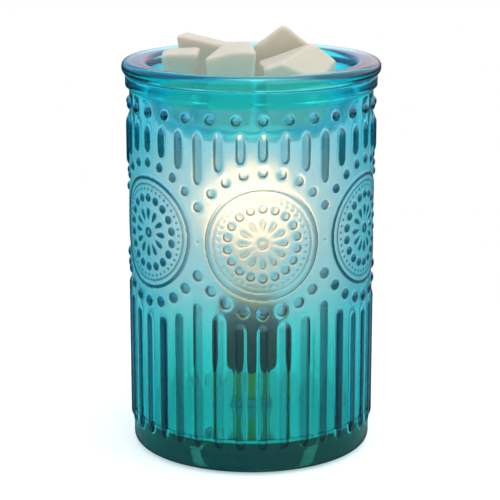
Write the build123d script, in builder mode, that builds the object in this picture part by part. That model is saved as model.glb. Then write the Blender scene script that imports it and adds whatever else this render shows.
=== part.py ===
from build123d import *
from math import cos, degrees, radians, sin, sqrt
import os

os.makedirs("parts", exist_ok=True)

# A wax melt warmer. The object stands on z = 0, its axis is Z and a medallion faces -Y.
# The cord leaves at the back, +Y. All sizes are millimetres and degrees.

# Rubber feet and base
rubber_foot_radius = 5.0
rubber_foot_height = 1.2
rubber_foot_count = 4
rubber_foot_inset = 10.0        # centre of a foot from the edge of the cover
cover_thickness = 2.0
cover_clearance = 0.4
base_ring_height = 11.9
base_ring_wall = 2.4
plate_thickness = 1.4

# Glass body, a pressed cylinder that is open at both ends
wall_radius = 49.8
wall_thickness = 4.5
foot_inset = 0.2                # the foot is narrower than the wall
foot_band = 9.2                 # smooth band below the ribs
foot_edge_round = 3.0
foot_edge_level = 0.8           # the glass ends just above the table
ledge_width = 1.4               # inner step that rests on the lamp plate
ledge_clearance = 0.4           # glass foot to base
collar_rise = 1.6
collar_band = 4.2
collar_slope = 1.4
collar_round = 0.6
mouth_level = 155.7

# Relief on the glass body: the whole pattern repeats round the wall
medallion_count = 6
medallion_drop = 59.7           # centre of a medallion below the mouth
outer_ring_radius = 22.0
outer_ring_width = 1.7
outer_ring_rise = 0.8
inner_ring_radius = 19.4
inner_ring_width = 1.1
inner_ring_rise = 0.5
centre_boss_width = 4.7
centre_boss_rise = 1.0
stud_sink = 1.0                 # how far the relief reaches into the wall
top_stud_count = 30
top_stud_width = 4.2
top_stud_rise = 1.4
top_stud_drop = 11.4            # below the mouth
lozenge_count = 36
lozenge_width = 3.9
lozenge_rise = 1.5
lozenge_taper = 2.4             # length of each sloping end
lozenge_drop = 16.3             # top ends below the mouth
lozenge_lengths = (11.4, 12.4, 15.6, 21.0)
rib_count = 36
rib_width = 4.4
rib_rise = 1.0
rib_taper = 1.6
rib_foot_gap = 0.9              # above the smooth foot
rib_drops = (33.3, 32.7, 29.7, 24.4)    # top ends below the centre of a medallion
bead_width = 4.6
bead_rise = 1.3
bead_circle = 28.3              # radius of the bead arcs round a medallion
bead_pitch = 15.4               # angle between two beads of an arc
bead_arc_reach = 3              # beads on each side of the middle one
valley_bead_offset = 13.8       # height of the beads between two medallions

# Dish that rests on the mouth
dish_overhang = 1.45            # beyond the collar
dish_rim_height = 6.6
dish_rim_round = 3.0
dish_bowl_clearance = 0.9
dish_bowl_draft = 4.8           # narrowing of the bowl from seat to bottom
dish_depth = 23.5               # below the seat
dish_mouth_inset = 1.45         # inner edge of the rim inside the bowl's outer face
dish_rim_fall = 1.0             # the top of the rim slopes inwards
dish_inner_draft = 6.6
dish_floor = 4.0
dish_bottom_round = 9.0
dish_inner_round = 6.0
dish_lip_round = 1.6

# Wax pieces that stand in the dish: each narrows downwards, as cast, and is broken at the top
wax_draft = 4.0
wax_lean = 9.0                  # of the piece that leans on the side of the dish
wax_blank_height = 42.0         # before a piece is broken off
wax_edge_round = 1.3
wax_layout_radius = 42.95       # mouth of the dish for which the pieces below are laid out

# Cord gland
gland_bore = 3.1
gland_wall = 0.9
gland_flange_radius = 4.7
gland_flange_thickness = 1.6
gland_inset = 0.4               # its outer end lies inside the foot
gland_wall_clearance = 0.1
notch_clearance = 0.6
notch_headroom = 0.3             # more above the gland, over which the glass is lowered

# Fasteners of the base
boss_inset = 3.9                # into the base from its wall
boss_radius = 4.2
boss_set_count = 3
plate_boss_angle = 0.0
cover_boss_angle = 60.0
screw_radius = 1.5
screw_fit = 0.05
screw_length = 7.0
screw_head_radius = 2.6
screw_head_height = 1.6
cover_head_height = 1.1
cover_head_clearance = 0.2
screw_hole_clearance = 0.2
slot_width = 0.7
slot_depth = 0.6

# Grip ring between base and glass
grip_ring_height = 2.4
grip_ring_depth = 0.9
grip_ring_fit = 0.05

# Threaded nipple that carries the lamp holder
nipple_radius = 5.0
nipple_bore = 3.6
nipple_below_plate = 4.1
nipple_fit = 0.08
nut_across_flats = 14.0
nut_thickness = 3.0
washer_radius = 9.0
washer_thickness = 0.8

# Lamp holder for a small screw cap
holder_radius = 13.0
holder_stand_share = 0.5926     # of the height that the lamp leaves free: under the holder
holder_cap_height = 9.5
holder_cap_floor = 5.5
holder_cap_round = 6.0
holder_sleeve_height = 18.0
holder_edge_round = 1.0
nipple_in_holder = 4.0
core_radius = 10.2
core_clearance = 0.2
core_skirt = 1.8
core_height = 8.0
core_plate = 4.0
shell_radius = 7.9
shell_wall = 0.6
shell_height = 13.0
shell_flange = 3.3
shell_clearance = 1.3
contact_length = 7.4
contact_width = 4.0
contact_thickness = 0.6
contact_pad_radius = 1.8
contact_pad_height = 0.6

# Leads and terminal block
lead_radius = 0.9
lead_bend = 2.6
lead_hole_clearance = 0.2
live_lead_offset = -1.7
neutral_lead_offset = 1.7
neutral_tab_offset = 6.2
block_length = 20.0
block_width = 14.0
block_height = 8.0
block_inset = 18.9              # centre from the base wall at the back
terminal_offset = 5.0
terminal_level = 3.0            # above the cover
terminal_screw_radius = 1.5
terminal_head_radius = 2.2
terminal_head_height = 1.0

# Bulb
cap_gap = 0.3                   # to the spring contact and over the thread
cap_tip_radius = 2.4
cap_tip_height = 1.2
cap_tip_round = 0.8
cap_insulator_height = 3.4
cap_insulator_tip = 3.2
cap_fit = 0.4                   # clearance of its thread in the screw shell
cap_wall = 0.5
cap_thread_pitch = 2.822
cap_thread_depth = 0.4
cap_thread_turns = 5
cap_skirt_height = 5.3
cap_skirt_radius = 8.6
bulb_radius = 22.5
bulb_neck_radius = 7.9
bulb_neck_round = 14.0
bulb_neck_seat = 3.4            # straight neck inside the cap
bulb_wall = 0.8
stem_foot_height = 1.2
stem_taper_height = 8.0
stem_height = 18.0
stem_radius = 2.6
stem_fit = 0.1
support_wire_radius = 0.35
support_wire_spread = 8.0
support_wire_root = 1.2
support_wire_depth = 1.0        # length held in the stem
filament_radius = 0.3
filament_level = 10.0           # above the stem
filament_rise = 6.0

# Levels and radii that follow from the sizes above
cover_level = rubber_foot_height
cover_top = cover_level + cover_thickness
base_ring_top = cover_level + base_ring_height
plate_top = base_ring_top + plate_thickness
wall_inner_radius = wall_radius - wall_thickness
foot_radius = wall_radius - foot_inset
collar_radius = wall_radius + collar_rise
medallion_level = mouth_level - medallion_drop
top_stud_level = mouth_level - top_stud_drop
lozenge_top = mouth_level - lozenge_drop
rib_bottom = foot_edge_level + foot_band + rib_foot_gap
foot_inner_radius = wall_inner_radius + ledge_width
base_radius = foot_inner_radius - ledge_clearance
base_inner_radius = base_radius - base_ring_wall
cover_radius = base_inner_radius - cover_clearance
rubber_foot_circle = cover_radius - rubber_foot_inset
boss_circle = base_inner_radius - boss_inset
block_offset = base_inner_radius - block_inset
gland_level = (cover_top + base_ring_top) / 2
gland_radius = gland_bore + gland_wall
gland_inner_end = base_inner_radius - gland_flange_thickness - gland_inset
gland_outer_end = foot_radius - gland_inset
notch_radius = gland_radius + notch_clearance
notch_level = gland_level + notch_headroom
nipple_bottom = base_ring_top - nipple_below_plate
dish_bottom = mouth_level - dish_depth
neck_arc_centre = bulb_neck_radius + bulb_neck_round
globe_height = sqrt((bulb_radius + bulb_neck_round) ** 2 - neck_arc_centre**2) + bulb_radius
cap_height = cap_tip_height + cap_insulator_height + cap_thread_turns * cap_thread_pitch + cap_skirt_height
core_stack = holder_cap_floor + core_height + contact_thickness + contact_pad_height + cap_gap
lamp_height = core_stack + cap_height + globe_height
holder_bottom = plate_top + holder_stand_share * (dish_bottom - plate_top - lamp_height)
nipple_top = holder_bottom + nipple_in_holder
holder_cap_top = holder_bottom + holder_cap_height
holder_floor = holder_bottom + holder_cap_floor
holder_top = holder_cap_top + holder_sleeve_height
core_top = holder_floor + core_height
core_seat_radius = core_radius + core_clearance
shell_inner_radius = shell_radius - shell_wall
cap_radius = shell_inner_radius - cap_fit
contact_top = core_top + contact_thickness + contact_pad_height
cap_tip_level = contact_top + cap_gap
cap_insulator_level = cap_tip_level + cap_tip_height
cap_shell_level = cap_insulator_level + cap_insulator_height
cap_skirt_level = cap_shell_level + cap_thread_turns * cap_thread_pitch
cap_top = cap_skirt_level + cap_skirt_height
bulb_neck_level = cap_top - bulb_neck_seat
bulb_tangent_level = cap_top
bulb_centre = bulb_tangent_level + globe_height - bulb_radius
stem_top = bulb_neck_level + stem_height
terminal_height = cover_top + terminal_level
dish_radius = collar_radius + dish_overhang
dish_floor_level = dish_bottom + dish_floor
dish_rim_top = mouth_level + dish_rim_height
dish_bowl_radius = wall_inner_radius - dish_bowl_clearance
dish_mouth_radius = dish_bowl_radius - dish_mouth_inset
wax_scale = dish_mouth_radius / wax_layout_radius

degrees_per_mm = degrees(1 / wall_radius)


def on_wall(arc, level):
    """A place on the outside of the glass wall, facing outwards along its own -Y."""
    angle = radians(arc)
    return Location((wall_radius * sin(angle), -wall_radius * cos(angle), level), (0, 0, arc))


def round_solid(points, rounds):
    """A solid turned about Z from a closed outline, with the named corners rounded."""
    with BuildPart() as turned:
        with BuildSketch(Plane.XZ) as outline:
            with BuildLine():
                Polyline(*points, close=True)
            make_face()
            for corner, radius in rounds:
                fillet(outline.vertices().sort_by_distance((*corner, 0))[0], radius)
        revolve(axis=Axis.Z)
    return turned.part


def stud(width, rise, length, taper):
    """A rounded rib with sloping ends that lies on the wall, centred on its own origin."""
    arc_radius = (width**2 / 4 + rise**2) / (2 * rise)
    slope = taper / rise
    with BuildPart() as rib:
        with BuildSketch(Plane.YZ):
            with BuildLine():
                Polyline(
                    (-rise, length / 2 - taper),
                    (stud_sink, length / 2 + slope * stud_sink),
                    (stud_sink, -length / 2 - slope * stud_sink),
                    (-rise, taper - length / 2),
                    close=True,
                )
            make_face()
        extrude(amount=arc_radius, both=True)
        with Locations((0, arc_radius - rise, 0)):
            Cylinder(arc_radius, 2 * length + 2 * slope * stud_sink, mode=Mode.INTERSECT)
    return rib.part


def medallion_ring(radius, width, rise):
    """A raised ring round the medallion that faces -Y."""
    with BuildPart() as ring:
        with BuildSketch(Plane.XZ):
            with Locations((0, medallion_level)):
                Circle(radius + width / 2)
                Circle(radius - width / 2, mode=Mode.SUBTRACT)
        extrude(amount=collar_radius)
        with BuildSketch():
            Circle(wall_radius + rise)
            Circle(wall_radius - stud_sink, mode=Mode.SUBTRACT)
        extrude(amount=mouth_level, mode=Mode.INTERSECT)
    return ring.part


# Glass body: a plain turned blank, then the relief, then the inside
medallion_step = 360 / medallion_count
middle_turns = range(-bead_arc_reach, bead_arc_reach + 1)
bead_places = []
for index in range(medallion_count):
    middle = index * medallion_step
    for side in (1, -1):
        for turn in middle_turns:
            arc = bead_circle * sin(radians(turn * bead_pitch)) * degrees_per_mm
            rise = bead_circle * cos(radians(turn * bead_pitch))
            bead_places.append(on_wall(middle + arc, medallion_level + side * rise))
        valley = medallion_level + side * valley_bead_offset
        bead_places.append(on_wall(middle + medallion_step / 2, valley))


def column_places(count, step, level):
    """Places of the ribs or lozenges that lie a given number of steps from a medallion."""
    per_medallion = count // medallion_count
    offsets = {step, (per_medallion - step) % per_medallion}
    return [
        on_wall((index * per_medallion + offset) * 360 / count, level)
        for index in range(medallion_count)
        for offset in offsets
    ]


blank = round_solid(
    (
        (0, foot_edge_level),
        (foot_radius, foot_edge_level),
        (foot_radius, foot_edge_level + foot_band),
        (wall_radius, foot_edge_level + foot_band),
        (wall_radius, mouth_level - collar_band - collar_slope),
        (collar_radius, mouth_level - collar_band),
        (collar_radius, mouth_level),
        (0, mouth_level),
    ),
    (
        ((foot_radius, foot_edge_level), foot_edge_round),
        ((collar_radius, mouth_level - collar_band), collar_round),
        ((collar_radius, mouth_level), collar_round),
    ),
)

with BuildPart() as relief:
    with Locations(*[on_wall(i * 360 / top_stud_count, top_stud_level) for i in range(top_stud_count)]):
        add(stud(top_stud_width, top_stud_rise, top_stud_width, top_stud_rise))
    with Locations(*bead_places):
        add(stud(bead_width, bead_rise, bead_width, bead_rise))
    for step, length in enumerate(lozenge_lengths):
        with Locations(*column_places(lozenge_count, step, lozenge_top - length / 2)):
            add(stud(lozenge_width, lozenge_rise, length, lozenge_taper))
    for step, drop in enumerate(rib_drops):
        length = medallion_level - drop - rib_bottom
        with Locations(*column_places(rib_count, step, rib_bottom + length / 2)):
            add(stud(rib_width, rib_rise, length, rib_taper))
    with Locations(*[on_wall(i * medallion_step, medallion_level) for i in range(medallion_count)]):
        add(stud(centre_boss_width, centre_boss_rise, centre_boss_width, centre_boss_rise))
    with PolarLocations(0, medallion_count):
        add(medallion_ring(outer_ring_radius, outer_ring_width, outer_ring_rise))
        add(medallion_ring(inner_ring_radius, inner_ring_width, inner_ring_rise))

with BuildPart() as glass_body:
    add(blank)
    add(relief.part)
    with BuildSketch():
        Circle(wall_inner_radius)
    extrude(amount=mouth_level, mode=Mode.SUBTRACT)
    with BuildSketch():
        Circle(foot_inner_radius)
    extrude(amount=plate_top, mode=Mode.SUBTRACT)
    with BuildSketch(Plane.XZ.offset(-wall_inner_radius)):
        with Locations((0, notch_level)):
            Circle(notch_radius)
        with Locations((0, notch_level / 2)):
            Rectangle(2 * notch_radius, notch_level)
    extrude(amount=wall_inner_radius - foot_radius - wall_thickness, mode=Mode.SUBTRACT)

# Dish: a shallow bowl whose thick rim rests on the mouth of the glass body
with BuildPart() as glass_dish:
    add(
        round_solid(
            (
                (0, dish_bottom),
                (dish_bowl_radius - dish_bowl_draft, dish_bottom),
                (dish_bowl_radius, mouth_level),
                (dish_radius, mouth_level),
                (dish_radius, dish_rim_top),
                (dish_mouth_radius, dish_rim_top - dish_rim_fall),
                (dish_mouth_radius - dish_inner_draft, dish_floor_level),
                (0, dish_floor_level),
            ),
            (
                ((dish_bowl_radius - dish_bowl_draft, dish_bottom), dish_bottom_round),
                ((dish_radius, mouth_level), dish_rim_round),
                ((dish_radius, dish_rim_top), dish_rim_round),
                ((dish_mouth_radius, dish_rim_top - dish_rim_fall), dish_lip_round),
                ((dish_mouth_radius - dish_inner_draft, dish_floor_level), dish_inner_round),
            ),
        )
    )


def wax_piece(corners, breaks, draft=wax_draft):
    """A cast block of wax on the floor of the dish, cut off along its broken faces."""
    with BuildPart() as piece:
        with BuildSketch(Plane.XY.offset(dish_floor_level + wax_blank_height)):
            Polygon(*[(x * wax_scale, y * wax_scale) for x, y in corners], align=None)
        extrude(amount=-wax_blank_height, taper=draft)
        for point, slope in breaks:
            level = (point[0] * wax_scale, point[1] * wax_scale, dish_floor_level + point[2])
            split(bisect_by=Plane(origin=level, z_dir=slope), keep=Keep.BOTTOM)
        fillet(piece.edges(), wax_edge_round * wax_scale)
    return piece.part


with BuildPart() as wax_left_back:
    add(
        wax_piece(
            corners=((-31.0, 8.6), (-7.6, 8.2), (-6.4, 22.5), (-26.0, 25.5)),
            breaks=(((-29.0, 12.0, 34.4), (0.23, 0.0, 1.0)),),
        )
    )

with BuildPart() as wax_left_front:
    add(
        wax_piece(
            corners=((-39.5, -11.0), (-20.6, -13.6), (-17.8, 5.6), (-38.5, 7.0)),
            breaks=(
                ((-29.0, -4.0, 29.7), (-0.02, -0.03, 1.0)),
                ((-34.0, -2.0, 29.6), (-0.5, 0.03, 1.0)),
            ),
            draft=wax_lean,
        )
    )

with BuildPart() as wax_middle:
    add(
        wax_piece(
            corners=((-23.4, -23.4), (0.9, -24.5), (0.5, -4.6), (-9.8, -4.0)),
            breaks=(
                ((-9.6, -21.0, 31.9), (-0.28, -0.15, 1.0)),
                ((0.0, -21.0, 31.9), (0.0, -0.09, 1.0)),
            ),
        )
    )

with BuildPart() as wax_middle_back:
    add(
        wax_piece(
            corners=((-9.4, -2.8), (-0.2, -3.2), (-0.4, 6.8), (-9.0, 7.2)),
            breaks=(((-1.0, 2.0, 31.3), (-0.3, -0.02, 1.0)),),
        )
    )

with BuildPart() as wax_right_back:
    add(
        wax_piece(
            corners=((0.6, 4.2), (26.2, 3.8), (24.5, 23.5), (1.4, 24.5)),
            breaks=(
                ((13.8, 5.0, 38.6), (-0.7, 0.22, 1.0)),
                ((13.8, 5.0, 38.6), (0.76, 0.22, 1.0)),
            ),
        )
    )

with BuildPart() as wax_right_front:
    add(
        wax_piece(
            corners=((1.6, -25.5), (26.0, -25.5), (35.8, -5.9), (27.9, 2.6), (1.4, 2.4)),
            breaks=(
                ((2.1, 2.0, 24.0), (-0.333, 0.027, 1.0)),
                ((27.6, -4.0, 30.6), (0.49, -0.61, 1.0)),
                ((24.6, 0.0, 31.4), (0.68, 0.0, 1.0)),
            ),
        )
    )

wax_pieces = {
    "wax_left_back": wax_left_back,
    "wax_left_front": wax_left_front,
    "wax_middle": wax_middle,
    "wax_middle_back": wax_middle_back,
    "wax_right_back": wax_right_back,
    "wax_right_front": wax_right_front,
}

# Base: a ring under the lamp plate, closed by a cover that stands on rubber feet
foot_start_angle = 180 / rubber_foot_count
grip_ring_level = (cover_level + base_ring_top) / 2
grip_groove_radius = foot_inner_radius - ledge_clearance - grip_ring_depth

with BuildPart() as base_ring:
    with BuildSketch(Plane.XY.offset(cover_level)):
        Circle(base_radius)
        Circle(base_inner_radius, mode=Mode.SUBTRACT)
    extrude(amount=base_ring_height)
    with BuildSketch(Plane.XY.offset(cover_top)):
        with PolarLocations(boss_circle, 2 * boss_set_count):
            Circle(boss_radius)
    extrude(amount=base_ring_top - cover_top)
    with BuildSketch(Plane.XY.offset(base_ring_top)):
        with PolarLocations(boss_circle, boss_set_count, start_angle=plate_boss_angle):
            Circle(screw_radius + screw_fit)
    extrude(amount=-screw_length, mode=Mode.SUBTRACT)
    with BuildSketch(Plane.XY.offset(cover_top)):
        with PolarLocations(boss_circle, boss_set_count, start_angle=cover_boss_angle):
            Circle(screw_radius + screw_fit)
    extrude(amount=screw_length, mode=Mode.SUBTRACT)
    with BuildSketch(Plane.XY.offset(grip_ring_level - grip_ring_height / 2)):
        Circle(base_radius)
        Circle(grip_groove_radius, mode=Mode.SUBTRACT)
    extrude(amount=grip_ring_height, mode=Mode.SUBTRACT)
    with BuildSketch(Plane.XZ.offset(-gland_inner_end)):
        with Locations((0, gland_level)):
            Circle(gland_radius + gland_wall_clearance)
    extrude(amount=gland_inner_end - base_radius, mode=Mode.SUBTRACT)

with BuildPart() as grip_ring:
    with BuildSketch(Plane.XY.offset(grip_ring_level - grip_ring_height / 2)):
        Circle(foot_inner_radius - grip_ring_fit)
        Circle(grip_groove_radius + grip_ring_fit, mode=Mode.SUBTRACT)
    extrude(amount=grip_ring_height)
    with BuildSketch(Plane.XZ.offset(-wall_inner_radius + wall_thickness)):
        with Locations((0, gland_level)):
            Circle(notch_radius)
    extrude(amount=-2 * wall_thickness, mode=Mode.SUBTRACT)

with BuildPart() as lamp_plate:
    with BuildSketch(Plane.XY.offset(base_ring_top)):
        Circle(base_radius)
        Circle(nipple_radius + nipple_fit, mode=Mode.SUBTRACT)
        with PolarLocations(boss_circle, boss_set_count, start_angle=plate_boss_angle):
            Circle(screw_radius + screw_hole_clearance, mode=Mode.SUBTRACT)
    extrude(amount=plate_thickness)

with BuildPart() as bottom_cover:
    with BuildSketch(Plane.XY.offset(cover_level)):
        Circle(cover_radius)
    extrude(amount=cover_thickness)
    with Locations(Plane.XY.offset(cover_level) * Rotation(180, 0, 0)):
        with PolarLocations(boss_circle, boss_set_count, start_angle=-cover_boss_angle):
            CounterBoreHole(
                screw_radius + screw_hole_clearance,
                screw_head_radius + cover_head_clearance,
                cover_head_height,
                cover_thickness,
            )

with BuildPart() as rubber_feet:
    with BuildSketch():
        with PolarLocations(rubber_foot_circle, rubber_foot_count, start_angle=foot_start_angle):
            Circle(rubber_foot_radius)
    extrude(amount=rubber_foot_height)


def pan_screw(head_height, shank_length):
    """A slotted screw that points down, the underside of its head on its own origin."""
    with BuildPart() as screw:
        Cylinder(screw_head_radius, head_height, align=(Align.CENTER, Align.CENTER, Align.MIN))
        Cylinder(screw_radius, shank_length, align=(Align.CENTER, Align.CENTER, Align.MAX))
        with BuildSketch(Plane.XY.offset(head_height)):
            Rectangle(2 * screw_head_radius, slot_width)
        extrude(amount=-slot_depth, mode=Mode.SUBTRACT)
    return screw.part


with BuildPart() as plate_screws:
    with Locations((0, 0, plate_top)):
        with PolarLocations(boss_circle, boss_set_count, start_angle=plate_boss_angle):
            add(pan_screw(screw_head_height, screw_length))

with BuildPart() as cover_screws:
    with Locations(Location((0, 0, cover_level + cover_head_height), (180, 0, 0))):
        with PolarLocations(boss_circle, boss_set_count, start_angle=-cover_boss_angle):
            add(pan_screw(cover_head_height, screw_length))

with BuildPart() as cord_gland:
    with BuildSketch(Plane.XZ.offset(-gland_inner_end)):
        with Locations((0, gland_level)):
            Circle(gland_flange_radius)
    extrude(amount=-gland_flange_thickness)
    with BuildSketch(Plane.XZ.offset(-gland_inner_end)):
        with Locations((0, gland_level)):
            Circle(gland_radius)
    extrude(amount=gland_inner_end - gland_outer_end)
    with BuildSketch(Plane.XZ.offset(-gland_inner_end)):
        with Locations((0, gland_level)):
            Circle(gland_bore)
    extrude(amount=gland_inner_end - gland_outer_end, mode=Mode.SUBTRACT)

# Nipple with its nuts: it stands in the lamp plate and carries the holder
with BuildPart() as threaded_nipple:
    with BuildSketch(Plane.XY.offset(nipple_bottom)):
        Circle(nipple_radius)
        Circle(nipple_bore, mode=Mode.SUBTRACT)
    extrude(amount=nipple_top - nipple_bottom)

with BuildPart() as lock_washer:
    with BuildSketch(Plane.XY.offset(plate_top)):
        Circle(washer_radius)
        Circle(nipple_radius + nipple_fit, mode=Mode.SUBTRACT)
    extrude(amount=washer_thickness)

with BuildPart() as nipple_nuts:
    for level in (base_ring_top - nut_thickness, plate_top + washer_thickness):
        with BuildSketch(Plane.XY.offset(level)):
            RegularPolygon(nut_across_flats / 2, 6, major_radius=False)
            Circle(nipple_radius + nipple_fit, mode=Mode.SUBTRACT)
        extrude(amount=nut_thickness)

# Lamp holder: a domed cap and a sleeve that clamp the core between them
with BuildPart() as holder_cap:
    add(
        round_solid(
            (
                (nipple_radius + nipple_fit, holder_bottom),
                (holder_radius, holder_bottom),
                (holder_radius, holder_cap_top),
                (core_seat_radius, holder_cap_top),
                (core_seat_radius, holder_floor),
                (nipple_radius + nipple_fit, holder_floor),
            ),
            (((holder_radius, holder_bottom), holder_cap_round),),
        )
    )

with BuildPart() as holder_sleeve:
    add(
        round_solid(
            (
                (core_seat_radius, holder_cap_top),
                (holder_radius, holder_cap_top),
                (holder_radius, holder_top),
                (shell_radius + shell_clearance, holder_top),
                (shell_radius + shell_clearance, core_top + core_clearance),
                (core_seat_radius, core_top + core_clearance),
            ),
            (((holder_radius, holder_top), holder_edge_round),),
        )
    )

with BuildPart() as holder_core:
    with BuildSketch(Plane.XY.offset(holder_floor)):
        Circle(core_radius)
    extrude(amount=core_height)
    with BuildSketch(Plane.XY.offset(holder_floor)):
        Circle(core_radius - core_skirt)
    extrude(amount=core_height - core_plate, mode=Mode.SUBTRACT)
    with BuildSketch(Plane.XY.offset(core_top)):
        with Locations((live_lead_offset, 0), (neutral_tab_offset, 0)):
            Circle(lead_radius + lead_hole_clearance)
    extrude(amount=-core_plate, mode=Mode.SUBTRACT)

with BuildPart() as screw_shell:
    with BuildSketch(Plane.XY.offset(core_top)):
        Circle(shell_radius)
        Circle(shell_inner_radius, mode=Mode.SUBTRACT)
    extrude(amount=shell_height)
    with BuildSketch(Plane.XY.offset(core_top)):
        Circle(shell_radius)
        Circle(shell_radius - shell_flange, mode=Mode.SUBTRACT)
    extrude(amount=shell_wall)

with BuildPart() as centre_contact:
    with BuildSketch(Plane.XY.offset(core_top)):
        Rectangle(contact_length, contact_width)
    extrude(amount=contact_thickness)
    with BuildSketch(Plane.XY.offset(core_top + contact_thickness)):
        Circle(contact_pad_radius)
    extrude(amount=contact_pad_height)

# Terminal block on the cover, and the leads from it up through the nipple
with BuildPart() as terminal_block:
    with BuildSketch(Plane.XY.offset(cover_top)):
        with Locations((0, block_offset)):
            Rectangle(block_length, block_width)
    extrude(amount=block_height)
    with BuildSketch(Plane.XZ.offset(-block_offset)):
        with Locations((terminal_offset, terminal_height), (-terminal_offset, terminal_height)):
            Circle(lead_radius + lead_hole_clearance)
    extrude(amount=block_width / 2, both=True, mode=Mode.SUBTRACT)
    with BuildSketch(Plane.XY.offset(terminal_height)):
        with Locations((terminal_offset, block_offset), (-terminal_offset, block_offset)):
            Circle(terminal_screw_radius + screw_fit)
    extrude(amount=block_height, mode=Mode.SUBTRACT)

with BuildPart() as terminal_screws:
    for side in (1, -1):
        with BuildSketch(Plane.XY.offset(terminal_height + lead_radius)):
            with Locations((side * terminal_offset, block_offset)):
                Circle(terminal_screw_radius)
        extrude(amount=block_height - terminal_level - lead_radius)
        with BuildSketch(Plane.XY.offset(cover_top + block_height)):
            with Locations((side * terminal_offset, block_offset)):
                Circle(terminal_head_radius)
        extrude(amount=terminal_head_height)


def lead_solid(route):
    """An insulated lead along a route of straight runs and even bends."""
    with BuildPart() as lead:
        with BuildLine() as path:
            FilletPolyline(*route, radius=lead_bend)
        with BuildSketch(Plane(origin=path.line @ 0, z_dir=path.line % 0)):
            Circle(lead_radius)
        sweep()
    return lead.part


with BuildPart() as lead_live:
    add(
        lead_solid(
            (
                (-terminal_offset, block_offset, terminal_height),
                (-terminal_offset, block_offset / 2, terminal_height),
                (live_lead_offset, 0, terminal_height),
                (live_lead_offset, 0, core_top),
            )
        )
    )

jog_level = (nipple_top + holder_floor + core_height - core_plate) / 2
with BuildPart() as lead_neutral:
    add(
        lead_solid(
            (
                (terminal_offset, block_offset, terminal_height),
                (terminal_offset, block_offset / 2, terminal_height),
                (neutral_lead_offset, 0, terminal_height),
                (neutral_lead_offset, 0, jog_level),
                (neutral_tab_offset, 0, jog_level),
                (neutral_tab_offset, 0, core_top),
            )
        )
    )

# Bulb: a frosted globe on a small screw cap
with BuildPart() as cap_contact:
    add(
        round_solid(
            (
                (0, cap_tip_level),
                (cap_tip_radius, cap_tip_level),
                (cap_tip_radius, cap_insulator_level),
                (0, cap_insulator_level),
            ),
            (((cap_tip_radius, cap_tip_level), cap_tip_round),),
        )
    )

with BuildPart() as cap_insulator:
    add(
        round_solid(
            (
                (0, cap_insulator_level),
                (cap_insulator_tip, cap_insulator_level),
                (cap_radius - cap_thread_depth, cap_shell_level),
                (0, cap_shell_level),
            ),
            (),
        )
    )

with BuildPart() as bulb_cap:
    with BuildSketch(Plane.XZ):
        with BuildLine():
            root = cap_radius - cap_thread_depth
            Polyline(
                (root, cap_shell_level),
                (root - cap_wall, cap_shell_level),
                (root - cap_wall, cap_skirt_level),
                (bulb_neck_radius, bulb_neck_level),
                (bulb_neck_radius, cap_top),
                (cap_skirt_radius, cap_top),
                (cap_skirt_radius, bulb_neck_level),
                (root, cap_skirt_level),
            )
            for turn in range(cap_thread_turns):
                upper = cap_skirt_level - turn * cap_thread_pitch
                lower = upper - cap_thread_pitch
                ThreePointArc((root, upper), (cap_radius, (upper + lower) / 2), (root, lower))
        make_face()
    revolve(axis=Axis.Z)


def bulb_profile(inset):
    """Half the outline of the bulb, drawn in by a wall thickness."""
    globe = bulb_radius - inset
    neck = bulb_neck_radius - inset
    shoulder = bulb_neck_round + inset
    share = shoulder / (globe + shoulder)
    tangent = (
        neck_arc_centre * (1 - share),
        bulb_tangent_level + (bulb_centre - bulb_tangent_level) * share,
    )
    with BuildLine() as outline:
        Line((0, bulb_neck_level), (neck, bulb_neck_level))
        Line((neck, bulb_neck_level), (neck, bulb_tangent_level))
        RadiusArc((neck, bulb_tangent_level), tangent, shoulder)
        ThreePointArc(tangent, (globe, bulb_centre), (0, bulb_centre + globe))
        Line((0, bulb_centre + globe), (0, bulb_neck_level))
    return outline.line


with BuildPart() as bulb_glass:
    with BuildSketch(Plane.XZ):
        add(bulb_profile(0))
        make_face()
    revolve(axis=Axis.Z)
    with BuildSketch(Plane.XZ):
        add(bulb_profile(bulb_wall))
        make_face()
    revolve(axis=Axis.Z, mode=Mode.SUBTRACT)

stem_foot_radius = bulb_neck_radius - bulb_wall - stem_fit
with BuildPart() as bulb_stem:
    add(
        round_solid(
            (
                (0, bulb_neck_level),
                (stem_foot_radius, bulb_neck_level),
                (stem_foot_radius, bulb_neck_level + stem_foot_height),
                (stem_radius, bulb_neck_level + stem_taper_height),
                (stem_radius, stem_top),
                (0, stem_top),
            ),
            (),
        )
    )
    with BuildSketch(Plane.XY.offset(stem_top)):
        with Locations((support_wire_root, 0), (-support_wire_root, 0)):
            Circle(support_wire_radius)
    extrude(amount=-support_wire_depth, mode=Mode.SUBTRACT)

wire_end = stem_top + filament_level
filament_end = wire_end + support_wire_radius
with BuildPart() as support_wires:
    for side in (1, -1):
        with BuildLine() as path:
            Polyline(
                (side * support_wire_root, 0, stem_top - support_wire_depth),
                (side * support_wire_root, 0, stem_top),
                (side * support_wire_spread, 0, wire_end),
            )
        with BuildSketch(Plane(origin=path.line @ 0, z_dir=path.line % 0)):
            Circle(support_wire_radius)
        sweep(transition=Transition.ROUND)

with BuildPart() as filament:
    with BuildLine() as path:
        ThreePointArc(
            (-support_wire_spread, 0, filament_end),
            (0, 0, filament_end + filament_rise),
            (support_wire_spread, 0, filament_end),
        )
    with BuildSketch(Plane(origin=path.line @ 0, z_dir=path.line % 0)):
        Circle(filament_radius)
    sweep()

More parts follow.
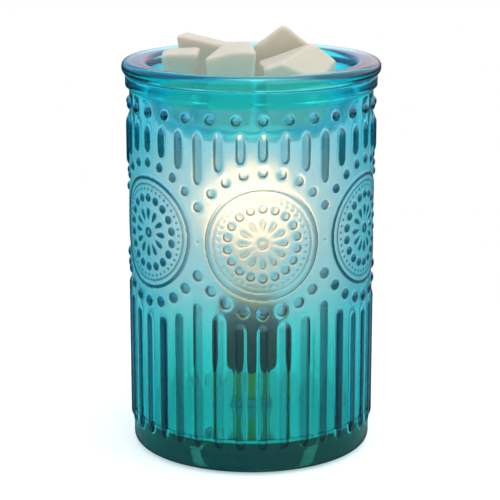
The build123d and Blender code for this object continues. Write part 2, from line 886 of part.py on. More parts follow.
nodes = {
    "glass_body": glass_body,
    "glass_dish": glass_dish,
    **wax_pieces,
    "base_ring": base_ring,
    "grip_ring": grip_ring,
    "lamp_plate": lamp_plate,
    "bottom_cover": bottom_cover,
    "rubber_feet": rubber_feet,
    "plate_screws": plate_screws,
    "cover_screws": cover_screws,
    "cord_gland": cord_gland,
    "threaded_nipple": threaded_nipple,
    "lock_washer": lock_washer,
    "nipple_nuts": nipple_nuts,
    "holder_cap": holder_cap,
    "holder_sleeve": holder_sleeve,
    "holder_core": holder_core,
    "screw_shell": screw_shell,
    "centre_contact": centre_contact,
    "terminal_block": terminal_block,
    "terminal_screws": terminal_screws,
    "lead_live": lead_live,
    "lead_neutral": lead_neutral,
    "cap_contact": cap_contact,
    "cap_insulator": cap_insulator,
    "bulb_cap": bulb_cap,
    "bulb_glass": bulb_glass,
    "bulb_stem": bulb_stem,
    "support_wires": support_wires,
    "filament": filament,
}
for name, node in nodes.items():
    node.part.label = name
    export_step(node.part, f"parts/{name}.step")
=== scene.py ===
from math import cos, pi, radians, sin, sqrt

import bpy
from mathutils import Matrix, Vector


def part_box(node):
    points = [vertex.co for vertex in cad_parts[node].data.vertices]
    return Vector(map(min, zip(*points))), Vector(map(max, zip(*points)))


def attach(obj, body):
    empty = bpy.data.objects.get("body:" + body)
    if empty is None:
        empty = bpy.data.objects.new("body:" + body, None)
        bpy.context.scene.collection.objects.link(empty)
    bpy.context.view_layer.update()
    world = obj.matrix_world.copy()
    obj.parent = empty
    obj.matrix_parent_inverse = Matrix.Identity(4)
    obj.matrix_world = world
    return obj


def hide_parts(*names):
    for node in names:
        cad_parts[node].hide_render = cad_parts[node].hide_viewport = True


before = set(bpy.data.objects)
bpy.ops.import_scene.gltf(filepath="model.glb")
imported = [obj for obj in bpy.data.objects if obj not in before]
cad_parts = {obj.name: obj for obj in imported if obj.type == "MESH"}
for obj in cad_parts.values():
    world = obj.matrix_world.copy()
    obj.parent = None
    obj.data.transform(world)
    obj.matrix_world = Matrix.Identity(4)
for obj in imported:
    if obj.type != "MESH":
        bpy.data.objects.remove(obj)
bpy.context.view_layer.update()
mm = 0.001
near = 0.01 * mm                # points closer than this count as one
scene = bpy.context.scene
scene.view_settings.view_transform = "Standard"
print("frame loaded")


def selectOnly(piece):
    bpy.ops.object.select_all(action="DESELECT")
    piece.select_set(True)
    bpy.context.view_layer.objects.active = piece


def joinPieces(parts, name):
    bpy.ops.object.select_all(action="DESELECT")
    for part in parts:
        part.select_set(True)
    bpy.context.view_layer.objects.active = parts[0]
    bpy.ops.object.join()
    joined = bpy.context.object
    joined.name = name
    return joined


def applyPlace(piece):
    selectOnly(piece)
    bpy.ops.object.transform_apply(location=True, rotation=True, scale=True)


def applyModifier(piece, kind, **settings):
    selectOnly(piece)
    modifier = piece.modifiers.new(kind.title(), kind)
    for key, value in settings.items():
        setattr(modifier, key, value)
    bpy.ops.object.modifier_apply(modifier=modifier.name)


def selectVertices(piece, wanted):
    # leaves the piece in edit mode, with just the wanted vertices selected
    selectOnly(piece)
    bpy.ops.object.mode_set(mode="EDIT")
    bpy.ops.mesh.select_all(action="DESELECT")
    bpy.ops.object.mode_set(mode="OBJECT")
    for vertex in piece.data.vertices:
        vertex.select = wanted(vertex.co)
    bpy.ops.object.mode_set(mode="EDIT")
    bpy.ops.mesh.select_mode(type="VERT")


def linearColour(hexColour):
    channels = [int(hexColour[i:i + 2], 16) / 255 for i in (1, 3, 5)]
    return tuple(c / 12.92 if c <= 0.04045 else ((c + 0.055) / 1.055) ** 2.4 for c in channels) + (1.0,)


def addNode(tree, kind, inputs=None, links=None, **settings):
    node = tree.nodes.new(kind)
    for key, value in settings.items():
        setattr(node, key, value)
    for key, value in (inputs or {}).items():
        node.inputs[key].default_value = value
    for key, source in (links or {}).items():
        tree.links.new(source, node.inputs[key])
    return node


def newMaterial(name):
    material = bpy.data.materials.new(name)
    material.use_nodes = True
    material.node_tree.nodes.clear()
    return material, material.node_tree


# the camera stands where the photograph was taken from
cameraSettings = {
    "distance": 750.5 * mm,     # from the axis
    "height": 268.2 * mm,
    "pitch": 13.98,             # degrees, looking down
    "turn": -5.18,              # degrees, so that the front medallion sits right of the middle
    "lens": 133.6,
    "sensor": 36.0,
    "shift": -0.0026,
}


def addCamera(settings):
    turn = radians(settings["turn"])
    data = bpy.data.cameras.new("photoCamera")
    data.lens = settings["lens"]
    data.sensor_width = settings["sensor"]
    data.shift_x = settings["shift"]
    camera = bpy.data.objects.new("photoCamera", data)
    scene.collection.objects.link(camera)
    distance = settings["distance"]
    camera.location = (distance * sin(turn), -distance * cos(turn), settings["height"])
    camera.rotation_euler = (pi / 2 - radians(settings["pitch"]), 0, turn)
    scene.camera = camera


addCamera(cameraSettings)
print("camera placed")


bodyTint = {
    "surface": "#F4FCFC",
    "deep": "#50E2DA",          # the stain gets deeper towards the foot
    "deepFrom": 84.0 * mm, "deepTo": 20.0 * mm,
    "relief": "#02323E",        # and painted shade is laid where the glass stands out, for the dark its beads show by refraction
    "reliefFrom": 50.0 * mm, "reliefTo": 50.4 * mm, "reliefTop": 148.5 * mm,
    "facing": 0.34, "grazeFrom": 0.03, "grazeTo": 0.3,          # the painted shade is pale where one looks straight through it
    "outline": 0.95, "outlineFrom": 0.03, "outlineTo": 0.24,    # but stays dark on the flanks of each bead, as painted outlines
    "upper": "#DCF6FC", "upperFrom": 116.0 * mm, "upperTo": 144.0 * mm,
    "edge": "#70E8FA", "edgeFrom": 0.2, "edgeTo": 0.6,          # towards the sides one looks along the wall
    "collar": "#64FFFF",        # the plain neck and collar are stained all over
    "depth": "#50EEF8",
    "density": 90.0,            # per metre of glass
    "shadow": "#E2F2F4",
    "waveSize": 9.0 * mm, "waveDepth": 0.25 * mm, "waveShare": 0.25, "waveDetail": 1.0,
    "polish": 0.02,             # roughness of the fire-polished outside
    "frost": 0.46,              # roughness of the inside, left by the plunger
    "clear": 0.1,               # roughness of the inside where it isn't misted
    "insideRadius": 46.0 * mm, "insideBlend": 0.3 * mm,
    "haze": 0.34,               # share of the inside that scatters the bulb's light widely
    "hazeColour": "#FFE6EC",
    "backward": 0.25,           # share of the haze that is thrown back
    "mistLow": (54.0 * mm, 80.0 * mm),      # levels over which the mist sets in
    "mistHigh": (122.0 * mm, 140.0 * mm),   # and over which it ends
    "index": 1.5, "filmNm": 215.0, "filmIndex": 1.7,            # the glass, and the lustre film on it
}
dishTint = {
    **bodyTint,
    "deep": "#F4FCFC", "relief": "#F4FCFC", "upper": "#F4FCFC", "collar": "#D8F6F8",
    "edge": "#7CB4E0", "edgeTo": 0.9,
    "haze": 0.35, "mistLow": (0.0, 1.0 * mm), "mistHigh": (133.5 * mm, 138.0 * mm), "clear": 0.14,
    "depth": "#30FCFD", "density": 200.0,
}


def pressedGlass(name, settings):
    # soda-lime glass pressed in an iron mould: wet and wavy outside and misted inside, so that the lamp
    # shows as a soft glow; the raised ornament gets painted shade, dark teal drops for the dark its beads
    # show by refraction
    material, tree = newMaterial(name)
    place = addNode(tree, "ShaderNodeTexCoord")
    waves = addNode(
        tree, "ShaderNodeTexNoise", {"Scale": 1 / settings["waveSize"], "Detail": settings["waveDetail"]},
        {"Vector": place.outputs["Object"]},
    )
    wavy = addNode(
        tree, "ShaderNodeBump", {"Strength": settings["waveShare"], "Distance": settings["waveDepth"]},
        {"Height": waves.outputs["Fac"]},
    )
    split = addNode(tree, "ShaderNodeSeparateXYZ", {}, {"Vector": place.outputs["Object"]})
    flat = addNode(tree, "ShaderNodeCombineXYZ", {}, {"X": split.outputs["X"], "Y": split.outputs["Y"]})
    fromAxis = addNode(tree, "ShaderNodeVectorMath", {}, {0: flat.outputs["Vector"]}, operation="LENGTH")
    outward = addNode(tree, "ShaderNodeVectorMath", {}, {0: flat.outputs["Vector"]}, operation="NORMALIZE")
    slant = addNode(tree, "ShaderNodeLayerWeight", {}, {"Normal": outward.outputs["Vector"]})
    flank = addNode(tree, "ShaderNodeLayerWeight")
    level, reach = split.outputs["Z"], fromAxis.outputs["Value"]
    turned, steep = slant.outputs["Facing"], flank.outputs["Facing"]
    rampRows = (
        # name, what it follows, where it starts and ends, its lowest and highest value
        ("misting", level, *settings["mistLow"], 0.0, 1.0),
        ("clearing", level, *reversed(settings["mistHigh"]), 0.0, 1.0),
        ("lower", level, settings["deepFrom"], settings["deepTo"], 0.0, 1.0),
        ("higher", level, settings["upperFrom"], settings["upperTo"], 0.0, 1.0),
        ("raised", reach, settings["reliefFrom"], settings["reliefTo"], 0.0, 1.0),
        ("graze", turned, settings["grazeFrom"], settings["grazeTo"], settings["facing"], 1.0),
        ("along", turned, settings["edgeFrom"], settings["edgeTo"], 0.0, 1.0),
        ("outline", steep, settings["outlineFrom"], settings["outlineTo"], 0.0, settings["outline"]),
    )
    ramps = {}
    for key, value, start, end, lowest, highest in rampRows:
        ramp = addNode(
            tree, "ShaderNodeMapRange",
            {"From Min": start, "From Max": end, "To Min": lowest, "To Max": highest},
            {"Value": value}, interpolation_type="SMOOTHSTEP",
        )
        ramps[key] = ramp.outputs["Result"]
    mist = addNode(
        tree, "ShaderNodeMath", {}, {0: ramps["misting"], 1: ramps["clearing"]}, operation="MULTIPLY",
    )
    inside = addNode(
        tree, "ShaderNodeMapRange",
        {
            "From Min": settings["insideRadius"] + settings["insideBlend"],
            "From Max": settings["insideRadius"] - settings["insideBlend"],
        },
        {"Value": reach},
    )
    frost = addNode(
        tree, "ShaderNodeMapRange", {"To Min": settings["clear"], "To Max": settings["frost"]},
        {"Value": mist.outputs[0]},
    )
    gloss = addNode(
        tree, "ShaderNodeMix", {2: settings["polish"]},
        {0: inside.outputs["Result"], 3: frost.outputs["Result"]},
    )
    below = addNode(tree, "ShaderNodeMath", {1: settings["reliefTop"]}, {0: level}, operation="LESS_THAN")
    above = addNode(tree, "ShaderNodeMath", {0: 1.0}, {1: below.outputs[0]}, operation="SUBTRACT")
    # painted shade on the raised ornament: pale where one looks straight through the wall, dark on each
    # bead's flanks
    darker = addNode(
        tree, "ShaderNodeMath", {}, {0: ramps["graze"], 1: ramps["outline"]}, operation="MAXIMUM",
    )
    share = addNode(
        tree, "ShaderNodeMath", {}, {0: darker.outputs[0], 1: below.outputs[0]}, operation="MULTIPLY",
    )
    paintedShade = addNode(
        tree, "ShaderNodeMath", {}, {0: ramps["raised"], 1: share.outputs[0]}, operation="MULTIPLY",
    )
    # light that leaves the glass has been stained already, so the painted shade on the ornament goes only
    # where light enters
    side = addNode(tree, "ShaderNodeNewGeometry")
    paintedShadeIn = addNode(tree, "ShaderNodeMix", {3: 0.0}, {0: side.outputs["Backfacing"], 2: paintedShade.outputs[0]})
    tintRows = (
        ("deep", ramps["lower"], "MIX"),
        ("upper", ramps["higher"], "MIX"),
        ("collar", above.outputs[0], "MIX"),
        ("edge", ramps["along"], "MULTIPLY"),
        ("relief", paintedShadeIn.outputs[0], "MIX"),
    )
    under = {}
    for key, amount, blend in tintRows:
        tint = addNode(
            tree, "ShaderNodeMix", {6: linearColour(settings["surface"]), 7: linearColour(settings[key])},
            {0: amount, **under}, data_type="RGBA", blend_type=blend,
        )
        under = {6: tint.outputs[2]}
    glass = addNode(
        tree, "ShaderNodeBsdfPrincipled",
        {
            "IOR": settings["index"], "Transmission Weight": 1.0,
            "Thin Film Thickness": settings["filmNm"], "Thin Film IOR": settings["filmIndex"],
        },
        {"Base Color": tint.outputs[2], "Normal": wavy.outputs["Normal"], "Roughness": gloss.outputs[0]},
    )
    hazeColour = linearColour(settings["hazeColour"])
    onward = addNode(tree, "ShaderNodeBsdfTranslucent", {"Color": hazeColour})
    backward = addNode(tree, "ShaderNodeBsdfDiffuse", {"Color": hazeColour})
    haze = addNode(
        tree, "ShaderNodeMixShader", {"Fac": settings["backward"]},
        {1: onward.outputs["BSDF"], 2: backward.outputs["BSDF"]},
    )
    misty = addNode(
        tree, "ShaderNodeMath", {}, {0: inside.outputs["Result"], 1: mist.outputs[0]}, operation="MULTIPLY",
    )
    hazy = addNode(tree, "ShaderNodeMath", {1: settings["haze"]}, {0: misty.outputs[0]}, operation="MULTIPLY")
    misted = addNode(
        tree, "ShaderNodeMixShader", {},
        {"Fac": hazy.outputs[0], 1: glass.outputs["BSDF"], 2: haze.outputs["Shader"]},
    )
    clear = addNode(tree, "ShaderNodeBsdfTransparent", {"Color": linearColour(settings["shadow"])})
    rays = addNode(tree, "ShaderNodeLightPath")
    both = addNode(
        tree, "ShaderNodeMixShader", {},
        {"Fac": rays.outputs["Is Shadow Ray"], 1: misted.outputs["Shader"], 2: clear.outputs["BSDF"]},
    )
    depth = addNode(
        tree, "ShaderNodeVolumeAbsorption",
        {"Color": linearColour(settings["depth"]), "Density": settings["density"]},
    )
    addNode(
        tree, "ShaderNodeOutputMaterial", {},
        {"Surface": both.outputs["Shader"], "Volume": depth.outputs["Volume"]},
    )
    return material


finishGrain = {"detail": 4.0, "glossSpread": 0.2, "depth": 0.1 * mm}


def plainFinish(name, hexColour, roughness, metallic=0.0, grain=0.6, bump=0.1, spread=0.06, **sockets):
    # one moulded, drawn or rolled finish: its colour varies a little, and grain breaks its gloss;
    # the grain is in mm, and drawn coarse enough to show
    material, tree = newMaterial(name)
    place = addNode(tree, "ShaderNodeTexCoord")
    noise = addNode(
        tree, "ShaderNodeTexNoise", {"Scale": 1 / (grain * mm), "Detail": finishGrain["detail"]},
        {"Vector": place.outputs["Object"]},
    )
    colour = linearColour(hexColour)
    darker = tuple(c * (1 - spread) for c in colour[:3]) + (1.0,)
    lighter = tuple(min(1.0, c * (1 + spread)) for c in colour[:3]) + (1.0,)
    shades = addNode(
        tree, "ShaderNodeMix", {6: darker, 7: lighter}, {0: noise.outputs["Fac"]}, data_type="RGBA",
    )
    glossSpread = finishGrain["glossSpread"]
    gloss = addNode(
        tree, "ShaderNodeMapRange",
        {"To Min": roughness * (1 - glossSpread), "To Max": min(1.0, roughness * (1 + glossSpread))},
        {"Value": noise.outputs["Fac"]},
    )
    relief = addNode(
        tree, "ShaderNodeBump", {"Strength": bump, "Distance": finishGrain["depth"]},
        {"Height": noise.outputs["Fac"]},
    )
    shader = addNode(
        tree, "ShaderNodeBsdfPrincipled", {"Metallic": metallic, **sockets},
        {
            "Base Color": shades.outputs[2], "Roughness": gloss.outputs["Result"],
            "Normal": relief.outputs["Normal"],
        },
    )
    addNode(tree, "ShaderNodeOutputMaterial", {}, {"Surface": shader.outputs["BSDF"]})
    return material


tealGlass = pressedGlass("pressedTealGlass", bodyTint)
dishGlass = pressedGlass("pressedDishGlass", dishTint)
# light sinks a few mm into the wax, so its edges look soft and its shadows warm
castWax = plainFinish(
    "castIvoryWax", "#CFC8B9", 0.48, grain=5.0, bump=0.5, spread=0.03,
    **{"Subsurface Weight": 0.8, "Subsurface Radius": (1.0, 0.8, 0.55), "Subsurface Scale": 3.0 * mm},
)
# a dark brown-black body behind the glass, with hardly a highlight
blackPlastic = plainFinish("mouldedPhenolic", "#231B16", 0.6, grain=0.5)
# dull black that takes up all light under the foot
blackRubber = plainFinish("mouldedRubber", "#1B1B1C", 0.75, grain=0.4, bump=0.3)
# the bright floor inside the glass, which mirrors the stem
brightSteel = plainFinish("polishedSteel", "#D8DADB", 0.16, metallic=1.0, grain=3.0, bump=0.03)
# grey screws and nuts with a blurred sheen
zincSteel = plainFinish("zincPlatedSteel", "#B4B8BC", 0.34, metallic=1.0, grain=0.8)
# the amber tone under the bulb and along the stem, dulled by a film of oxide
drawnBrass = plainFinish("drawnBrass", "#DDA550", 0.34, metallic=0.7, grain=1.2, bump=0.05)
# warm white with a wet glaze
porcelain = plainFinish("glazedPorcelain", "#EFECE4", 0.18, grain=2.0, bump=0.05)
# an even, milky white
whitePlastic = plainFinish("mouldedPolyamide", "#E4E3DE", 0.5, grain=0.5)
# the two leads are told apart by their colour
brownLead = plainFinish("brownInsulation", "#5A3320", 0.4, grain=0.5)
blueLead = plainFinish("blueInsulation", "#2C62B4", 0.4, grain=0.5)
# a soft grey blob of metal
tinSolder = plainFinish("tinnedSolder", "#A9ADB2", 0.38, metallic=1.0, grain=0.6)
# black with a sharp highlight
blackGlass = plainFinish("fusedBlackGlass", "#0E0E12", 0.1, grain=2.0, bump=0.03)
# clear, so that the wires in it can be seen
clearStem = plainFinish(
    "drawnClearGlass", "#EDF3F2", 0.05, grain=4.0, bump=0.02, **{"Transmission Weight": 1.0},
)
# dark grey wire
darkTungsten = plainFinish("drawnTungsten", "#55565A", 0.4, metallic=1.0, grain=0.4)

bulbLight = {
    "colour": "#FFA46C", "strength": 3.8,
    "edge": 0.12, "fade": 0.8,          # the globe's outline glows less than its middle
    "neckColour": "#FF8820", "neckShare": 0.32,
    "neckLevel": 76.0 * mm, "paleLevel": 108.0 * mm, "brightLevel": 114.0 * mm,
    "skin": "#FFF6E6", "roughness": 0.6,
    "grain": 0.7 * mm, "grainDepth": 0.05 * mm, "grainShare": 0.1,
}


def frostedGlobe(name, settings):
    # inside-frosted lamp glass: a cream glow, strongest where one looks straight into it, amber at the neck
    material, tree = newMaterial(name)
    place = addNode(tree, "ShaderNodeTexCoord")
    edge = addNode(tree, "ShaderNodeLayerWeight")
    strength = settings["strength"]
    glow = addNode(
        tree, "ShaderNodeMapRange",
        {"From Max": settings["fade"], "To Min": strength, "To Max": strength * settings["edge"]},
        {"Value": edge.outputs["Facing"]}, interpolation_type="SMOOTHSTEP",
    )
    split = addNode(tree, "ShaderNodeSeparateXYZ", {}, {"Vector": place.outputs["Object"]})
    upper = addNode(
        tree, "ShaderNodeMapRange",
        {
            "From Min": settings["neckLevel"], "From Max": settings["brightLevel"],
            "To Min": settings["neckShare"],
        },
        {"Value": split.outputs["Z"]}, interpolation_type="SMOOTHSTEP",
    )
    light = addNode(
        tree, "ShaderNodeMath", {}, {0: glow.outputs["Result"], 1: upper.outputs["Result"]},
        operation="MULTIPLY",
    )
    height = addNode(
        tree, "ShaderNodeMapRange", {"From Min": settings["neckLevel"], "From Max": settings["paleLevel"]},
        {"Value": split.outputs["Z"]}, interpolation_type="SMOOTHSTEP",
    )
    warmth = addNode(
        tree, "ShaderNodeMix", {6: linearColour(settings["neckColour"]), 7: linearColour(settings["colour"])},
        {0: height.outputs["Result"]}, data_type="RGBA",
    )
    frost = addNode(
        tree, "ShaderNodeTexNoise", {"Scale": 1 / settings["grain"]}, {"Vector": place.outputs["Object"]},
    )
    bump = addNode(
        tree, "ShaderNodeBump", {"Strength": settings["grainShare"], "Distance": settings["grainDepth"]},
        {"Height": frost.outputs["Fac"]},
    )
    skin = addNode(
        tree, "ShaderNodeBsdfPrincipled",
        {"Base Color": linearColour(settings["skin"]), "Roughness": settings["roughness"]},
        {
            "Emission Color": warmth.outputs[2], "Emission Strength": light.outputs[0],
            "Normal": bump.outputs["Normal"],
        },
    )
    addNode(tree, "ShaderNodeOutputMaterial", {}, {"Surface": skin.outputs["BSDF"]})
    return material


frostedBulb = frostedGlobe("frostedLampGlass", bulbLight)

nodeFinishes = {
    "base_ring": blackPlastic, "bottom_cover": blackPlastic, "holder_cap": blackPlastic,
    "holder_sleeve": blackPlastic, "cord_gland": blackPlastic, "grip_ring": blackRubber,
    "rubber_feet": blackRubber, "lamp_plate": brightSteel, "plate_screws": zincSteel,
    "cover_screws": zincSteel, "lock_washer": zincSteel, "nipple_nuts": zincSteel,
    "support_wires": zincSteel, "threaded_nipple": drawnBrass, "screw_shell": drawnBrass,
    "centre_contact": drawnBrass, "terminal_screws": drawnBrass, "bulb_cap": drawnBrass,
    "holder_core": porcelain, "terminal_block": whitePlastic, "lead_live": brownLead,
    "lead_neutral": blueLead, "cap_contact": tinSolder, "cap_insulator": blackGlass,
    "bulb_glass": frostedBulb, "bulb_stem": clearStem, "filament": darkTungsten,
}


def finishNodes(finishes):
    for name, material in finishes.items():
        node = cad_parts[name]
        node.data.materials.clear()
        node.data.materials.append(material)


finishNodes(nodeFinishes)
print("materials made")


# the glass body's relief is laid out flat for one medallion, wrapped round the axis and repeated
bodyRelief = {
    "sectors": 6,
    "columns": 92,
    "wallRadius": 49.8 * mm,
    "wallThickness": 4.5 * mm,
    "medallionLevel": 96.0 * mm,
    # from level and to level in mm, rows of faces
    "rowBands": (
        (9.8, 14.0, 6), (14.0, 59.0, 12), (59.0, 74.0, 18),
        (74.0, 119.0, 74), (119.0, 141.0, 22), (141.0, 149.2, 13),
    ),
    "insideRows": 4,
    "groundMiddle": 80.0 * mm, "groundHeight": 200.0 * mm,
    "groundSectors": 2,         # the ground is wider than the sheet
    "beadSegments": 20, "beadRings": 11, "barRings": 13,
    "sheetStart": 5.0 * mm,     # height over the ground from which the sheet comes down
    "softenings": 1, "softening": 0.5,
    "smoothAngle": 62,          # degrees
}
studRow = {"level": 144.3 * mm, "step": 12.0, "reach": 2, "width": 4.3 * mm, "rise": 1.45 * mm}
lozengeRow = {
    "step": 10.0, "width": 4.0 * mm, "rise": 1.5 * mm, "point": 1.7, "top": 139.4 * mm,
    "bottoms": (128.0 * mm, 127.0 * mm, 123.8 * mm, 118.4 * mm),
}
ribRow = {
    "width": 4.5 * mm, "rise": 1.0 * mm, "point": 1.3, "bottom": 10.9 * mm,
    "tops": (62.7 * mm, 63.3 * mm, 66.3 * mm, 71.6 * mm),
}
beadArcs = {
    "circle": 28.3 * mm, "step": 15.4, "reach": 3, "valley": 13.8 * mm,
    "upperWidth": 4.3 * mm, "lowerWidth": 5.0 * mm, "rise": 1.35 * mm,
    "middleWidth": 2.6 * mm, "middleRise": 0.5 * mm,
}
medallion = {
    # radius, half width and rise of each ring
    "rings": ((22.1 * mm, 1.0 * mm, 0.85 * mm), (19.5 * mm, 0.7 * mm, 0.65 * mm)),
    "ringSegments": {"major_segments": 120, "minor_segments": 14},
    "smallCount": 42, "smallCircle": 17.55 * mm, "smallWidth": 1.8 * mm, "smallRise": 0.8 * mm,
    "dotCount": 18, "dotCircle": 14.05 * mm, "dotWidth": 4.1 * mm, "dotRise": 1.2 * mm,
    "petals": 12, "petalFoot": 3.6 * mm, "petalTip": 10.5 * mm, "petalWidth": 3.5 * mm, "petalRise": 1.1 * mm,
    # share of the width and of the rise at a petal's foot, and how they grow towards its tip
    "footWidth": 0.3, "widening": 0.95, "curve": 1.2, "footRise": 0.55, "swelling": 0.5,
    "boss": 4.7 * mm, "bossRise": 1.0 * mm, "bossSegments": {"major_segments": 40, "minor_segments": 12},
    "dimple": 1.9 * mm, "dimpleSpread": 1.3, "dimpleRise": 0.45,
}


def addDome(arc, level, width, height, rise):
    # a domed bead that stands on the flat ground
    bpy.ops.mesh.primitive_uv_sphere_add(
        segments=bodyRelief["beadSegments"], ring_count=bodyRelief["beadRings"], radius=0.5,
        location=(arc, level, 0), scale=(width, height, 2 * rise),
    )
    return bpy.context.object


def addRib(arc, low, high, width, rise, point):
    # a sphere drawn out into a bar: its halves move apart, and its ends can be drawn to a point
    bpy.ops.mesh.primitive_uv_sphere_add(
        segments=bodyRelief["beadSegments"], ring_count=bodyRelief["barRings"], radius=0.5,
        rotation=(pi / 2, 0, 0), scale=(width, 2 * rise, width * point),
    )
    bar = bpy.context.object
    applyPlace(bar)
    stretch = max(0.0, (high - low - width * point) / 2)
    for side in (1, -1):
        selectVertices(bar, lambda co: co.y * side > 0)
        bpy.ops.transform.translate(value=(0, side * stretch, 0))
        bpy.ops.object.mode_set(mode="OBJECT")
    bar.location = (arc, (low + high) / 2, 0)
    return bar


def addPetal(angle, settings, level):
    # a teardrop: a stretched sphere whose inner end is drawn thin
    length = settings["petalTip"] - settings["petalFoot"]
    middle = (settings["petalTip"] + settings["petalFoot"]) / 2
    petal = addDome(0, 0, settings["petalWidth"], length, settings["petalRise"])
    applyPlace(petal)
    for vertex in petal.data.vertices:
        share = vertex.co.y / length + 0.5
        vertex.co.x *= settings["footWidth"] + settings["widening"] * share ** settings["curve"]
        vertex.co.z *= settings["footRise"] + settings["swelling"] * share
    petal.location = (middle * sin(angle), level + middle * cos(angle), 0)
    petal.rotation_euler = (0, 0, -angle)
    return petal


def addRing(level, radius, halfWidth, rise, segments):
    # a torus pressed flat to the ring's rise
    bpy.ops.mesh.primitive_torus_add(
        location=(0, level, 0), major_radius=radius, minor_radius=halfWidth, **segments,
    )
    ring = bpy.context.object
    ring.scale = (1, 1, rise / halfWidth)
    return ring


def buildMould():
    radius = bodyRelief["wallRadius"]
    centre = bodyRelief["medallionLevel"]
    reach = radius * pi / bodyRelief["sectors"]
    bpy.ops.mesh.primitive_plane_add(size=1, location=(0, bodyRelief["groundMiddle"], 0))
    ground = bpy.context.object
    ground.scale = (2 * reach * bodyRelief["groundSectors"], bodyRelief["groundHeight"], 1)
    parts = [ground]
    for index in range(-studRow["reach"], studRow["reach"] + 1):
        arc = radius * radians(index * studRow["step"])
        parts.append(addDome(arc, studRow["level"], studRow["width"], studRow["width"], studRow["rise"]))
    last = len(lozengeRow["bottoms"]) - 1
    for index in range(-last, last + 1):
        arc = radius * radians(index * lozengeRow["step"])
        for row, low, high in (
            (lozengeRow, lozengeRow["bottoms"][abs(index)], lozengeRow["top"]),
            (ribRow, ribRow["bottom"], ribRow["tops"][abs(index)]),
        ):
            parts.append(addRib(arc, low, high, row["width"], row["rise"], row["point"]))
    circle, rise = beadArcs["circle"], beadArcs["rise"]
    for side, width in ((1, beadArcs["upperWidth"]), (-1, beadArcs["lowerWidth"])):
        for index in range(-beadArcs["reach"], beadArcs["reach"] + 1):
            angle = radians(index * beadArcs["step"])
            level = centre + side * circle * cos(angle)
            parts.append(addDome(circle * sin(angle), level, width, width, rise))
        for edge in (-reach, reach):
            parts.append(addDome(edge, centre + side * beadArcs["valley"], width, width, rise))
    for edge in (-reach, reach):
        width = beadArcs["middleWidth"]
        parts.append(addDome(edge, centre, width, width, beadArcs["middleRise"]))
    for ring in medallion["rings"]:
        parts.append(addRing(centre, *ring, medallion["ringSegments"]))
    for kind in ("dot", "small"):
        count, circle, width, rise = (medallion[kind + part] for part in ("Count", "Circle", "Width", "Rise"))
        for index in range(count):
            angle = 2 * pi * index / count
            parts.append(addDome(circle * sin(angle), centre + circle * cos(angle), width, width, rise))
    for index in range(medallion["petals"]):
        parts.append(addPetal(2 * pi * index / medallion["petals"], medallion, centre))
    boss, dimple, rise = medallion["boss"], medallion["dimple"], medallion["bossRise"]
    parts.append(addRing(centre, (boss + dimple) / 4, (boss - dimple) / 4, rise, medallion["bossSegments"]))
    width = dimple * medallion["dimpleSpread"]
    parts.append(addDome(0, centre, width, width, rise * medallion["dimpleRise"]))
    for part in parts:
        applyPlace(part)
    return joinPieces(parts, "reliefMould")


def rowLevels(bands):
    levels = [bands[0][0] * mm]
    for low, high, count in bands:
        levels += [(low + (high - low) * (i + 1) / count) * mm for i in range(count)]
    return levels


def pressSheet(mould):
    # a fine sheet is laid over the relief from above and takes its form
    levels = rowLevels(bodyRelief["rowBands"])
    width = 2 * pi * bodyRelief["wallRadius"] / bodyRelief["sectors"]
    last = len(levels) - 1
    bpy.ops.mesh.primitive_grid_add(
        x_subdivisions=bodyRelief["columns"], y_subdivisions=last, size=1, location=(0, 0, 0),
    )
    sheet = bpy.context.object
    sheet.name = "glassSheet"
    for vertex in sheet.data.vertices:
        row = round((vertex.co.y + 0.5) * last)
        vertex.co = (vertex.co.x * width, levels[row], bodyRelief["sheetStart"])
    applyModifier(
        sheet, "SHRINKWRAP", target=mould, wrap_method="PROJECT", use_project_z=True,
        use_negative_direction=True, use_positive_direction=False,
    )
    selectVertices(sheet, lambda co: True)
    bpy.ops.mesh.vertices_smooth(
        factor=bodyRelief["softening"], repeat=bodyRelief["softenings"],
        xaxis=False, yaxis=False, zaxis=True,
    )
    bpy.ops.object.mode_set(mode="OBJECT")
    return sheet


def wrapSheet(sheet):
    radius = bodyRelief["wallRadius"]
    for vertex in sheet.data.vertices:
        angle = vertex.co.x / radius
        out = radius + vertex.co.z
        vertex.co = (out * sin(angle), -out * cos(angle), vertex.co.y)
    sectors = [sheet]
    for index in range(1, bodyRelief["sectors"]):
        selectOnly(sheet)
        bpy.ops.object.duplicate()
        turned = bpy.context.object
        turned.rotation_euler = (0, 0, 2 * pi * index / bodyRelief["sectors"])
        applyPlace(turned)
        sectors.append(turned)
    body = joinPieces(sectors, "glassBody")
    selectVertices(body, lambda co: True)
    bpy.ops.mesh.remove_doubles(threshold=near)
    bpy.ops.object.mode_set(mode="OBJECT")
    return body


def drawRing(body, radius, level):
    # the open edge that is selected is drawn on to a new radius and level
    bpy.ops.mesh.extrude_edges_move()
    bpy.ops.object.mode_set(mode="OBJECT")
    for vertex in body.data.vertices:
        if vertex.select:
            share = radius / sqrt(vertex.co.x ** 2 + vertex.co.y ** 2)
            vertex.co = (vertex.co.x * share, vertex.co.y * share, level)
    bpy.ops.object.mode_set(mode="EDIT")


def arcPoints(centre, radius, start, end, steps):
    # a rounded corner of the wall's section, from one angle to another in degrees
    points = []
    for index in range(steps + 1):
        angle = radians(start + (end - start) * index / steps)
        points.append((centre[0] + radius * cos(angle), centre[1] + radius * sin(angle)))
    return points


bodyEnds = {
    "neckDrop": 5.6 * mm, "slopeOut": 0.5 * mm, "slopeDrop": 5.0 * mm,      # drops are below the mouth
    "collarDrop": 3.9 * mm, "collarRound": 0.7 * mm, "collarStart": -60, "collarSteps": 3,
    "mouthRound": 0.6 * mm, "mouthSteps": 4,
    "footInset": 0.2 * mm, "footDrop": 0.8 * mm, "footRound": 3.0 * mm, "footSteps": 6,
    "footWidening": 1.4 * mm, "footFlat": 0.4 * mm, "footLip": 0.5 * mm,
    "wallDepth": 1.0 * mm,      # how far inside the wall's radius a point still belongs to its outside
}


